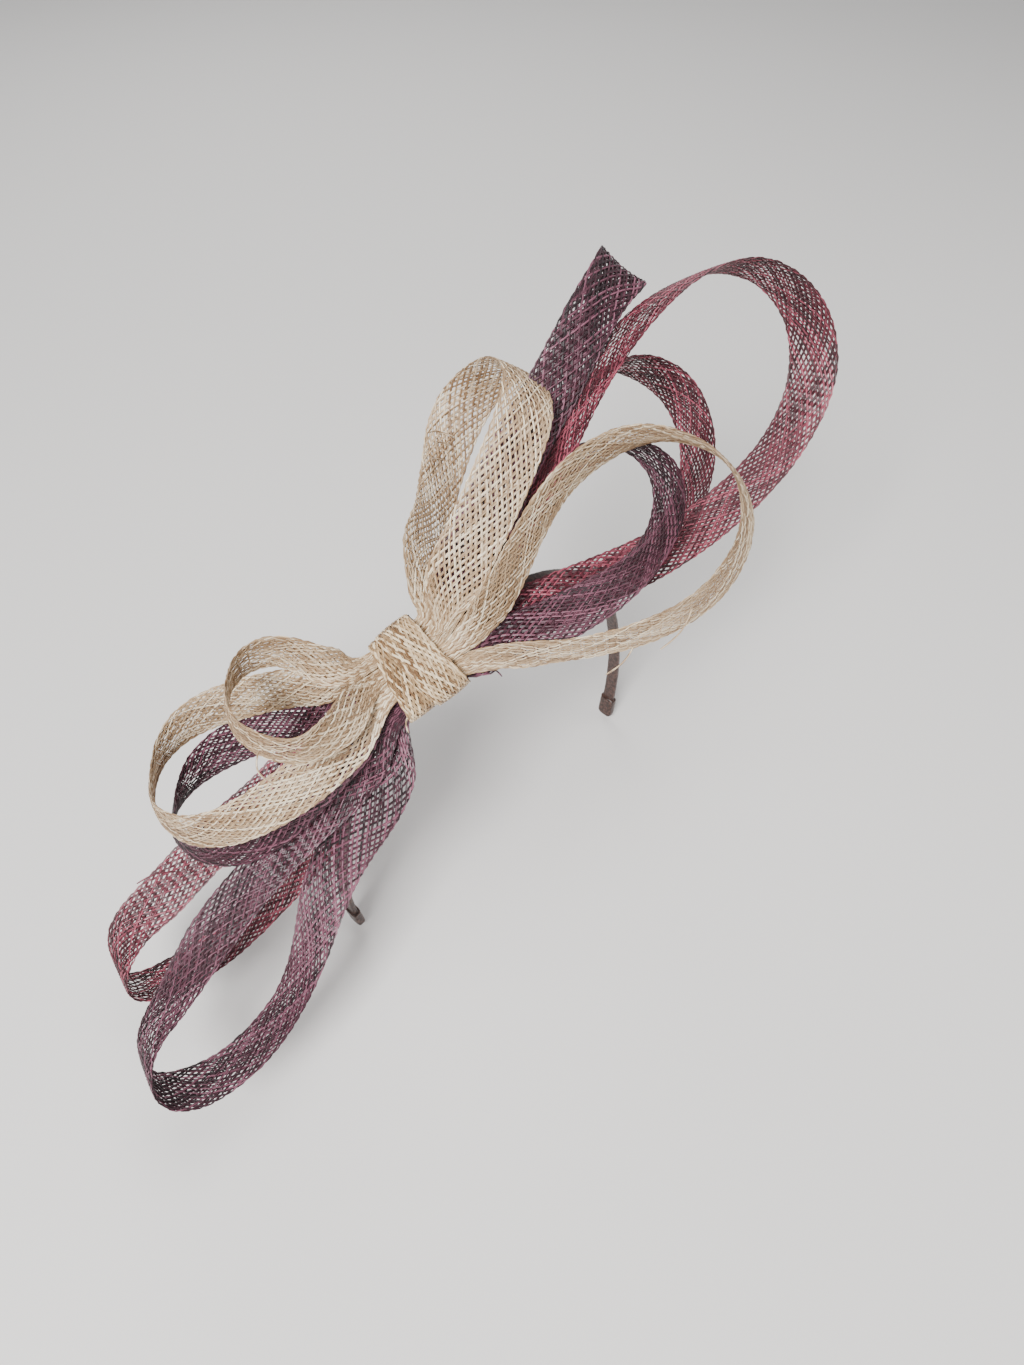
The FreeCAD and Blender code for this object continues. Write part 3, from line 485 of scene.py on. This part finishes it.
# Name, material, side of the knot, width, first cell, last cell, then the route as
# (place, the way the width lies there).
LOOPS = [
    ("cream_loop_upright", cream, 1, 20, (edge_column, raised), (near_column, top), [
        ((20, 22, 7), (0.2, -0.7, -0.6)),
        ((33, 38, -7), (0.3, -0.4, -0.9)),
        ((50, 55, -20), (0.5, -0.5, -0.7)),
        ((69, 69, -22), (0.7, -0.7, -0.3)),
        ((84, 70, -11), (0.5, -0.6, -0.6)),
        ((89, 59, 9), (0.5, -0.5, -0.7)),
        ((82, 47, 21), (0.5, -0.7, -0.4)),
        ((64, 34, 22), (0.5, -0.8, -0.3)),
        ((42, 22, 17), (0.4, -0.8, -0.3)),
        ((23, 11, 11), (0.2, -0.9, -0.2)),
    ]),
    ("cream_loop_round", cream, 1, 20, (-near_column, top), (-edge_column, raised), [
        ((28, -1, 4), (0.2, -0.6, -0.8)),
        ((55, 11, 10), (0.3, -0.4, -0.9)),
        ((77, 20, 13), (0.3, -0.3, -0.9)),
        ((99, 21, 10), (0.3, -0.3, -0.9)),
        ((120, 11, 5), (0.3, -0.2, -0.9)),
        ((130, -8, 3), (0.3, -0.2, -0.9)),
        ((125, -25, 4), (0.3, -0.3, -0.9)),
        ((102, -39, 8), (0.2, -0.4, -0.9)),
        ((73, -38, 12), (0, -0.4, -0.9)),
        ((46, -27, 11), (-0.1, -0.3, -0.9)),
        ((25, -15, 8), (-0.1, -0.5, -0.9)),
    ]),
    ("plum_loop_tall", plum, 1, 20, (near_column, upper), (edge_column, dropped), [
        ((24, 10, 4), (0.2, -0.9, 0)),
        ((35, 16, 6), (0.3, -0.9, -0.1)),
        ((66, 35, 8), (0.4, -0.8, -0.4)),
        ((99, 51, 7), (0.4, -0.8, -0.5)),
        ((128, 65, 9), (0.4, -0.7, -0.6)),
        ((141, 71, -1), (0.4, -0.7, -0.6)),
        ((134, 70, -13), (0.4, -0.7, -0.6)),
        ((102, 54, -19), (0.4, -0.8, -0.5)),
        ((65, 35, -19), (0.4, -0.8, -0.5)),
        ((28, 19, -9), (0.3, -0.9, -0.3)),
    ]),
    ("plum_loop_round", plum, 1, 20, (-near_column, upper), (-edge_column, 0), [
        ((22, -1, -4), (0.1, -0.9, 0.2)),
        ((35, 6, -8), (0.2, -0.9, 0.4)),
        ((63, 20, -9), (0.2, -0.8, 0.5)),
        ((87, 27, -10), (0.2, -0.7, 0.7)),
        ((108, 22, -14), (0.3, -0.4, 0.8)),
        ((115, 7, -18), (0.3, -0.3, 0.9)),
        ((109, -6, -19), (0.3, -0.4, 0.9)),
        ((95, -15, -17), (0.2, -0.5, 0.9)),
        ((71, -18, -11), (-0.1, -0.7, 0.6)),
        ((39, -14, -3), (-0.2, -0.8, 0.4)),
    ]),
    ("rose_loop_great", rose, 1, 20, (near_column, lower), (-near_column, lower), [
        ((24, 8, 0), (0.1, -0.9, 0.2)),
        ((41, 15, -3), (0.2, -0.8, 0.5)),
        ((74, 27, -3), (0.3, -0.6, 0.8)),
        ((100, 40, 2), (0.3, -0.5, 0.8)),
        ((130, 51, 5), (0.3, -0.5, 0.8)),
        ((157, 53, 3), (0.3, -0.4, 0.9)),
        ((181, 45, -6), (0.3, -0.3, 0.9)),
        ((192, 25, -18), (0.4, -0.4, 0.8)),
        ((187, 6, -28), (0.5, -0.5, 0.7)),
        ((168, -9, -36), (0.4, -0.6, 0.7)),
        ((137, -17, -38), (0.2, -0.8, 0.6)),
        ((98, -17, -31), (-0.1, -0.9, 0.5)),
        ((58, -10, -17), (-0.2, -0.9, 0.3)),
        ((30, -5, -8), (-0.1, -0.9, 0.2)),
    ]),
    ("rose_loop_back", rose, 1, 20, (near_column, bottom), (-near_column, bottom), [
        ((26, 8, -14), (0.2, -0.9, 0.3)),
        ((45, 19, -29), (0.4, -0.6, 0.7)),
        ((97, 46, -46), (0.5, -0.4, 0.8)),
        ((136, 55, -58), (0.5, -0.3, 0.8)),
        ((149, 38, -62), (0.5, -0.2, 0.8)),
        ((146, 15, -62), (0.5, -0.2, 0.8)),
        ((128, -5, -58), (0.5, -0.3, 0.8)),
        ((94, -15, -46), (0.2, -0.7, 0.6)),
        ((56, -10, -25), (0, -0.9, 0.3)),
        ((32, -5, -12), (0, -0.9, 0.3)),
    ]),
    ("cream_loop_small", cream, -1, 18, (edge_column, raised), (near_column, top), [
        ((-18, 11, 7), (-0.1, -0.9, -0.3)),
        ((-26, 20, 15), (-0.2, -0.6, -0.7)),
        ((-33, 29, 20), (-0.3, -0.4, -0.9)),
        ((-42, 32, 24), (-0.4, -0.3, -0.9)),
        ((-51, 28, 28), (-0.4, -0.2, -0.9)),
        ((-56, 18, 32), (-0.4, -0.2, -0.9)),
        ((-53, 7, 35), (-0.4, -0.3, -0.9)),
        ((-45, -2, 33), (-0.3, -0.4, -0.9)),
        ((-33, -4, 26), (-0.2, -0.6, -0.8)),
        ((-21, 0, 15), (-0.1, -0.9, -0.5)),
    ]),
    ("cream_loop_wide", cream, -1, 20, (edge_column, 0), (-near_column, top), [
        ((-25, 12, 0), (-0.2, -0.8, -0.6)),
        ((-42, 20, -3), (-0.3, -0.6, -0.8)),
        ((-61, 28, -6), (-0.5, -0.5, -0.8)),
        ((-81, 31, -7), (-0.5, -0.4, -0.8)),
        ((-96, 25, -5), (-0.5, -0.3, -0.8)),
        ((-103, 14, 0), (-0.4, -0.2, -0.9)),
        ((-98, 1, 7), (-0.4, -0.4, -0.8)),
        ((-83, -8, 12), (-0.3, -0.6, -0.7)),
        ((-62, -11, 14), (-0.1, -0.8, -0.6)),
        ((-37, -9, 11), (0, -0.8, -0.5)),
    ]),
    ("plum_loop_under", plum, -1, 20, (edge_column, dropped), (-near_column, upper), [
        ((-32, 9, -10), (-0.2, -0.9, -0.4)),
        ((-54, 13, -19), (-0.4, -0.6, -0.7)),
        ((-75, 18, -27), (-0.5, -0.5, -0.7)),
        ((-95, 17, -28), (-0.6, -0.4, -0.6)),
        ((-108, 7, -21), (-0.6, -0.3, -0.8)),
        ((-103, -9, -13), (-0.3, -0.5, -0.8)),
        ((-87, -16, -9), (-0.2, -0.7, -0.7)),
        ((-62, -14, -5), (0, -0.8, -0.5)),
        ((-36, -8, -1), (0, -0.9, -0.3)),
    ]),
    ("plum_loop_low", plum, -1, 20, (-edge_column, 0), (-edge_column, dropped), [
        ((-41, -18, -13), (0.2, -0.9, 0.4)),
        ((-70, -23, -19), (0.3, -0.8, 0.5)),
        ((-94, -28, -16), (0.3, -0.8, 0.5)),
        ((-115, -35, -6), (0.3, -0.8, 0.5)),
        ((-136, -45, 4), (0.4, -0.6, 0.7)),
        ((-153, -54, 6), (0.4, -0.4, 0.8)),
        ((-159, -67, 2), (0.2, -0.4, 0.9)),
        ((-151, -76, -7), (-0.1, -0.5, 0.9)),
        ((-133, -78, -15), (0, -0.6, 0.8)),
        ((-112, -72, -21), (0.2, -0.6, 0.8)),
        ((-95, -61, -24), (0.6, -0.5, 0.6)),
        ((-79, -48, -24), (0.8, -0.4, 0.3)),
        ((-57, -37, -18), (0.8, -0.5, 0.3)),
        ((-34, -28, -10), (0.4, -0.9, 0.3)),
        ((-22, -18, -6), (0.1, -0.9, 0.2)),
    ]),
    ("rose_loop_low", rose, -1, 20, (near_column, lower), (-near_column, bottom), [
        ((-22, 5, -11), (0, -0.9, 0.3)),
        ((-34, 6, -21), (0.1, -0.9, 0.4)),
        ((-49, 2, -28), (0.1, -0.9, 0.4)),
        ((-77, -5, -32), (0.2, -0.9, 0.4)),
        ((-107, -8, -30), (0.2, -0.9, 0.4)),
        ((-131, -13, -26), (0.3, -0.9, 0.4)),
        ((-152, -19, -24), (0.4, -0.7, 0.6)),
        ((-161, -33, -30), (0.2, -0.4, 0.9)),
        ((-149, -40, -39), (0, -0.6, 0.8)),
        ((-125, -41, -43), (0.1, -0.7, 0.7)),
        ((-96, -36, -39), (0.1, -0.8, 0.6)),
        ((-60, -24, -27), (0.2, -0.8, 0.5)),
        ((-34, -7, -14), (0.1, -0.9, 0.3)),
        ((-22, -4, -8), (0, -0.9, 0.2)),
    ]),
]

weave = weave_tree()
SLANT = math.tan(math.radians(25))


def woven(name, route, width, flare, material, seed, threads=22):
    """A woven strip along a route in the spray's frame; returns it and its length in mm."""
    swept, length = sweep_route(route, width, flare, 1.5)
    mesh = bpy.data.meshes.new(name + "_guide")
    mesh.from_pydata([from_spray(place) for _, place, _, _, _ in swept],
                     [(k, k + 1) for k in range(len(swept) - 1)], [])
    reach = mesh.attributes.new("reach", "FLOAT_VECTOR", "POINT")
    flat_list = []
    for _, _, _, lie, half in swept:
        flat_list.extend(spray_turn @ lie * (half * MM))
    reach.data.foreach_set("vector", flat_list)
    guide = bpy.data.objects.new(name + "_guide", mesh)
    bpy.context.collection.objects.link(guide)
    modifier = guide.modifiers.new("weave", "NODES")
    modifier.node_group = weave
    values = {"Threads": threads, "Seed": seed, "Material": material,
              "Steps": int(length * SLANT * threads / width) + 1}
    for item in weave.interface.items_tree:
        if item.item_type == "SOCKET" and item.in_out == "INPUT" and item.name in values:
            modifier[item.identifier] = values[item.name]
    bpy.context.view_layer.update()
    evaluated = guide.evaluated_get(bpy.context.evaluated_depsgraph_get())
    finished = bpy.data.meshes.new_from_object(evaluated)
    finished.name = name
    made = bpy.data.objects.new(name + "_weave", finished)
    bpy.context.collection.objects.link(made)
    bpy.data.objects.remove(guide)
    finished.polygons.foreach_set("use_smooth", [False] * len(finished.polygons))
    return made, length


def knot_run(side, cell):
    """The strip's way out of its cell in the knot, from the middle to the wrap's edge."""
    return [((side * along, *cell), flat) for along in (0.5, WRAP_EDGE / 2, WRAP_EDGE)]


# A strip's flat cut is 2.2 times its folded width: two faces and their folded edges.
for number, (name, material, side, width, first, last, route) in enumerate(LOOPS):
    full = knot_run(side, first) + route + knot_run(side, last)[::-1]
    strip, length = woven(name, full, width, gathered, material, number + 1,
                          threads=22 if width == 20 else 20)
    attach(strip, "crown")
    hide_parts(name)

# ---------------------------------------------------------------- cut end and loose threads
# The plum strip's cut end sticks out of the wrap, and a few threads have worked loose
# from the strips and stand off them. Single stiff threads of the same straw.


def thread_mesh(name, paths, radius, material, sides=5):
    """Round threads along lists of points in metres, tapering a little at their ends."""
    vertices, faces, places = [], [], []
    for number, path in enumerate(paths):
        count = len(path)
        start = len(vertices)
        side = None
        for k, point in enumerate(path):
            along = (path[min(k + 1, count - 1)] - path[max(k - 1, 0)]).normalized()
            if side is None:
                side = along.orthogonal().normalized()
            side = (side - along * side.dot(along)).normalized()
            other = along.cross(side)
            end = 0.6 if k in (0, count - 1) else 1.0
            for turn in range(sides + 1):
                angle = 2 * math.pi * turn / sides
                outward = side * math.cos(angle) + other * math.sin(angle)
                vertices.append(point + outward * radius * end)
                places.append((k / (count - 1), (number + 0.08 + 0.84 * turn / sides) / len(paths)))
        for face in grid_faces(count, sides + 1):
            faces.append(tuple(start + corner for corner in face))
    made = mesh_object(name, vertices, faces, material)
    layer = made.data.uv_layers.new(name="OFBake")
    for loop in made.data.loops:
        layer.data[loop.index].uv = places[loop.vertex_index]
    return made


def even(at, length):
    """The same width all along."""
    return 1.0


def arc_through(points):
    """A smooth line through a few places in the spray's frame, in metres."""
    route = [(place, (0.31, 0.52, 0.8)) for place in points]
    swept, _ = sweep_route(route, 1, even, 1.0)
    return [from_spray(place) for _, place, _, _, _ in swept]


def cut_end_flare(at, length):
    """Half its width under the wrap, and spreading from there to the cut end."""
    return 0.5 + 0.5 * max(0.0, (at - WRAP_EDGE) / (length - WRAP_EDGE))


cut_route = knot_run(1, (-edge_column, dropped)) + [((17, -13, -4), (0.1, -0.8, 0.5)),
                                                    ((22, -14, -5), (0.2, -0.8, 0.6))]
cut_end, _ = woven("plum_strip_tail", cut_route, 11, cut_end_flare, plum, seed=31, threads=12)
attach(cut_end, "crown")
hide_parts("plum_strip_tail")

FRAYS = [
    ("plum_frays", plum, "plum_sinamay", [
        [(20, -11, -4), (23, -11, -4.5), (26, -10.5, -4)],
        [(20, -12.5, -4.5), (24, -13.5, -5), (28, -14.5, -4)],
        [(20, -14, -5), (23, -16, -5.5), (25, -18.5, -5)],
        [(20, -15.5, -5.5), (22, -18, -6), (22.5, -21, -5.5)],
        [(20, -13, -4.8), (24.5, -12.5, -6), (27.5, -12.5, -7)],
    ]),
    ("cream_frays", cream, "cream_sinamay", [
        [(57, 60, -19), (54, 62, -14), (52, 60, -8), (53, 56, -5)],
        [(60, 62, -20), (56, 66, -16), (53, 66, -10)],
        [(52, 57, -18), (48, 58, -12), (47, 55, -7)],
        [(64, -39, 17), (58, -41, 19), (51, -41, 18)],
        [(88, -40, 15), (80, -44, 17), (71, -45, 16)],
        [(-50, -4, 42), (-46, -9, 43), (-41, -11, 40)],
        [(-52, 4, 42), (-55, -2, 46), (-53, -8, 46)],
        [(11, 4, 8.5), (16, 3, 12), (22, 5, 13.5), (27, 4, 12)],
        [(-11.5, -13, 5), (-14, -15, 6), (-15, -18, 5.5)],
    ]),
    ("rose_frays", rose, "rose_sinamay", [
        [(170, -8, -27), (164, -14, -26), (157, -17, -28)],
        [(-118, -9, -22), (-124, -5, -18), (-131, -4, -17)],
    ]),
]
for name, material, slot, lines in FRAYS:
    frays = thread_mesh(name, [arc_through(line) for line in lines], 0.0003, material)
    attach(frays, "crown")

# ---------------------------------------------------------------- centre wrap
# One more strip of cream sinamay, pulled narrow and wound twice round the gathered
# strips. The second turn lies beside the first and over about a third of it, and both
# ends lie underneath, toward the head.
WRAP_HALF_V, WRAP_HALF_W, WRAP_CORNER = 15.5, 7.1, 5.4
WRAP_WIDTH, PULLED, WRAP_TURNS, WRAP_START = 20, 0.67, 2.05, 0.55
CROSSING_START, CROSSING_RUN = 1.52, 0.2
FIRST_MIDDLE, SECOND_MIDDLE = -4.3, 4.8


def round_wrap(share):
    """Place across V and W, and the way out, at a share of the way round the wrap."""
    inner_v, inner_w = WRAP_HALF_V - WRAP_CORNER, WRAP_HALF_W - WRAP_CORNER
    bend = WRAP_CORNER * math.pi / 2
    left = share % 1.0 * (4 * inner_v + 4 * inner_w + 4 * bend)
    place, way, heading = Vector((-inner_v, WRAP_HALF_W)), Vector((0, 1)), Vector((1, 0))
    for side in (2 * inner_v, 2 * inner_w) * 2:
        if left <= side:
            return place + heading * left, way
        place = place + heading * side
        left -= side
        if left <= bend:
            angle = left / WRAP_CORNER
            turned = way * math.cos(angle) + heading * math.sin(angle)
            return place + (turned - way) * WRAP_CORNER, turned
        place = place + (heading - way) * WRAP_CORNER
        left -= bend
        way, heading = heading, -way
    return place, way


def wrap_route():
    """The strip's route: the first turn low on the left, the second over it on the right."""
    route = []
    count = int(WRAP_TURNS * 30)
    for k in range(count + 1):
        share = WRAP_START + WRAP_TURNS * k / count
        (v, w), way = round_wrap(share)
        over = min(max((share - CROSSING_START) / CROSSING_RUN, 0.0), 1.0)
        over = over * over * (3 - 2 * over)
        middle = FIRST_MIDDLE * (1 - over) + SECOND_MIDDLE * over - 0.14 * over * (v + 10)
        middle += 0.12 * (1 - over) * (v + 4)
        lift = -0.35 + 0.85 * over
        route.append(((middle, v + way.x * lift, w + way.y * lift), (1.0, 0.04, 0.0)))
    return route


def pulled_narrow(at, length):
    """The wrap's share of its full width, which wavers a little along it."""
    return PULLED * (1.0 + 0.03 * math.sin(at * 0.33) - 0.02 * math.sin(at * 0.81))


# The wrap's pale tone is partly a painted highlight and its deep tone partly painted shade between
# the threads.
wrap_straw = straw("wrap_straw", (110, 78, 46), (178, 146, 106), (238, 216, 180))
wrap, wrap_length = woven("centre_wrap", wrap_route(), WRAP_WIDTH, pulled_narrow, wrap_straw,
                          seed=41)
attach(wrap, "crown")
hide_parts("centre_wrap")

# ---------------------------------------------------------------- head band
# A sprung steel strip in a narrow sleeve of dark brown satin, made as two covers that meet
# under the knot; the ends are finished with folded satin caps.


def fine_cloth(name, colours, roughness, scale, detail, relief, sheen):
    """A fine cloth or felt: mottled tone, and its grain as a shallow bump."""
    material, shader, tree = material_named(name, colour(*colours[1]), roughness)
    place = tree.nodes.new("ShaderNodeTexCoord")
    mottle_node = mottled(tree, shader, place.outputs["Object"], scale, detail, colours)
    bump = tree.nodes.new("ShaderNodeBump")
    bump.inputs["Strength"].default_value = relief
    bump.inputs["Distance"].default_value = 0.0003
    tree.links.new(mottle_node.outputs["Grain"], bump.inputs["Height"])
    tree.links.new(bump.outputs[0], shader.inputs["Normal"])
    shader.inputs["Sheen Weight"].default_value = sheen
    return material


brown = fine_cloth("brown_satin", ((46, 28, 23), (64, 42, 35), (92, 66, 57)),
                   roughness=0.4, scale=900.0, detail=3.0, relief=0.4, sheen=0.05)

SHOULDER, ARM_RADIUS, ARM_LENGTH = math.radians(70), 160, 85
TIP_LENGTH, TIP_OVERHANG = 11, 0.9
crown_run = CROWN_RADIUS * SHOULDER
arm_end = crown_run + ARM_LENGTH
seam = -CROWN_RADIUS * KNOT_ANGLE


def band_place(distance, outwards, sideways):
    """A point on the band: distance from the crown's top along its inner face, in mm."""
    toward = 1 if distance >= 0 else -1
    run = abs(distance)
    if run <= crown_run:
        angle = run / CROWN_RADIUS
        centre, radius = band_centre, CROWN_RADIUS
    else:
        angle = SHOULDER + (run - crown_run) / ARM_RADIUS
        inward = Vector((toward * math.sin(SHOULDER), 0, math.cos(SHOULDER)))
        centre, radius = band_centre - inward * (ARM_RADIUS - CROWN_RADIUS), ARM_RADIUS
    out = Vector((toward * math.sin(angle), 0, math.cos(angle)))
    return (centre + out * (radius + outwards) + Vector((0, sideways, 0))) * MM


def sleeve(name, first, last, half_width, inner, outer, material, rough, seed, cap=False):
    """A stretch of covered band, rounded at its edges, with the satin's small puckers."""
    ring, spacing, rounding, squareness = 28, 0.8, 2.2, 0.55
    count = int(abs(last - first) / spacing)
    middle, half = (inner + outer) / 2, (outer - inner) / 2
    vertices = []
    for row in range(count + 1):
        distance = first + (last - first) * row / count
        closing = 1.0
        if cap:
            near_end = min(1.0, (abs(last) - abs(distance)) / rounding)
            closing = math.sqrt(max(0.0, 1 - (1 - near_end) ** 2)) * 0.9 + 0.1
        for turn in range(ring):
            angle = 2 * math.pi * turn / ring
            c, s = math.cos(angle), math.sin(angle)
            flat_c = math.copysign(abs(c) ** squareness, c)
            flat_s = math.copysign(abs(s) ** squareness, s)
            pucker = rough * noise.noise(Vector((distance * 0.55, flat_c * 2, flat_s * 2 + seed)))
            vertices.append(band_place(distance, middle + (half + pucker) * flat_s * closing,
                                       (half_width + pucker) * flat_c * closing))
    faces = grid_faces(count + 1, ring, close_columns=True)
    faces.append(tuple(range(ring)))
    faces.append(tuple(count * ring + k for k in reversed(range(ring))))
    made = mesh_object(name, vertices, faces, material)
    shaped = bmesh.new()
    shaped.from_mesh(made.data)
    bmesh.ops.recalc_face_normals(shaped, faces=shaped.faces)
    shaped.to_mesh(made.data)
    shaped.free()
    return made


for side, toward, body in (("left", 1, "left_arm"), ("right", -1, "right_arm")):
    cover = sleeve(f"satin_cover_{side}", seam, toward * arm_end, half_width=3.15, inner=-0.03,
                   outer=2.43, material=brown, rough=0.12, seed=3.0)
    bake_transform(cover)
    tip = sleeve(f"satin_tip_{side}", toward * (arm_end - TIP_LENGTH),
                 toward * (arm_end + TIP_OVERHANG), half_width=4.0, inner=-0.9, outer=3.3,
                 material=brown, rough=0.16, seed=8.0, cap=True)
    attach(tip, body)
    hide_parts(f"end_tip_{side}")
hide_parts("band_cover_crown", "band_cover_left_arm")
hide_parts("band_cover_right_arm")

steel, steel_shader, steel_tree = material_named("blue_spring_steel", colour(120, 122, 126), 0.35)
steel_shader.inputs["Metallic"].default_value = 1.0
grain = steel_tree.nodes.new("ShaderNodeTexNoise")
grain.inputs["Scale"].default_value = 300.0
steel_range = steel_tree.nodes.new("ShaderNodeMapRange")
steel_range.inputs["To Min"].default_value = 0.25
steel_range.inputs["To Max"].default_value = 0.5
steel_place = steel_tree.nodes.new("ShaderNodeTexCoord")
steel_tree.links.new(steel_place.outputs["Object"], grain.inputs["Vector"])
steel_tree.links.new(grain.outputs[0], steel_range.inputs["Value"])
steel_tree.links.new(steel_range.outputs[0], steel_shader.inputs["Roughness"])
for name in ("band_core_crown", "band_core_left_arm", "band_core_right_arm"):
    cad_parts[name].data.materials.clear()
    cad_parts[name].data.materials.append(steel)

# ---------------------------------------------------------------- felt and stitching
# An oval felt pad under the wrap, cut to sit over the band, and a felt patch inside it;
# four turns of thread go through both and round the band. Thread binds the gathers too.
brown_felt = fine_cloth("brown_felt", ((48, 32, 28), (66, 46, 41), (90, 68, 61)),
                        roughness=0.95, scale=700.0, detail=6.0, relief=0.8, sheen=0.2)
tan_thread = fine_cloth("tan_thread", ((150, 128, 102), (176, 154, 128), (200, 182, 158)),
                        roughness=0.6, scale=1200.0, detail=3.0, relief=0.5, sheen=0.1)
FELT_GRID, FELT_ROUGHNESS = 0.45 * MM, 0.14 * MM


def felt_piece(name, node_name):
    """A cut felt piece where the CAD solid lies: rounded edges and an uneven, fibrous face."""
    block = bpy.data.objects.new(name + "_block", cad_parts[node_name].data.copy())
    bpy.context.collection.objects.link(block)
    merged = bmesh.new()
    merged.from_mesh(block.data)
    bmesh.ops.remove_doubles(merged, verts=merged.verts, dist=0.001 * MM)
    merged.to_mesh(block.data)
    merged.free()
    cut = block.modifiers.new("cut", "REMESH")
    cut.mode = "VOXEL"
    cut.voxel_size = FELT_GRID
    bpy.context.view_layer.update()
    evaluated = block.evaluated_get(bpy.context.evaluated_depsgraph_get())
    shape = bpy.data.meshes.new_from_object(evaluated)
    bpy.data.objects.remove(block)
    shape.materials.clear()
    shape.materials.append(brown_felt)
    outward = [vertex.normal.copy() for vertex in shape.vertices]
    for vertex, way in zip(shape.vertices, outward):
        coarse = noise.noise(vertex.co * 500)
        fine = noise.noise(vertex.co * 1700)
        vertex.co += way * FELT_ROUGHNESS * (0.7 * coarse + 0.5 * fine - 0.6)
    shape.polygons.foreach_set("use_smooth", [True] * len(shape.polygons))
    made = bpy.data.objects.new(name, shape)
    bpy.context.collection.objects.link(made)
    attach(made, "crown")
    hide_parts(node_name)
    return made


pad = felt_piece("felt_pad_cut", "felt_pad")
patch = felt_piece("felt_patch_cut", "felt_patch")
for name in ("binding_thread", "lashing_thread"):
    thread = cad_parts[name]
    thread.data.materials.clear()
    thread.data.materials.append(tan_thread)
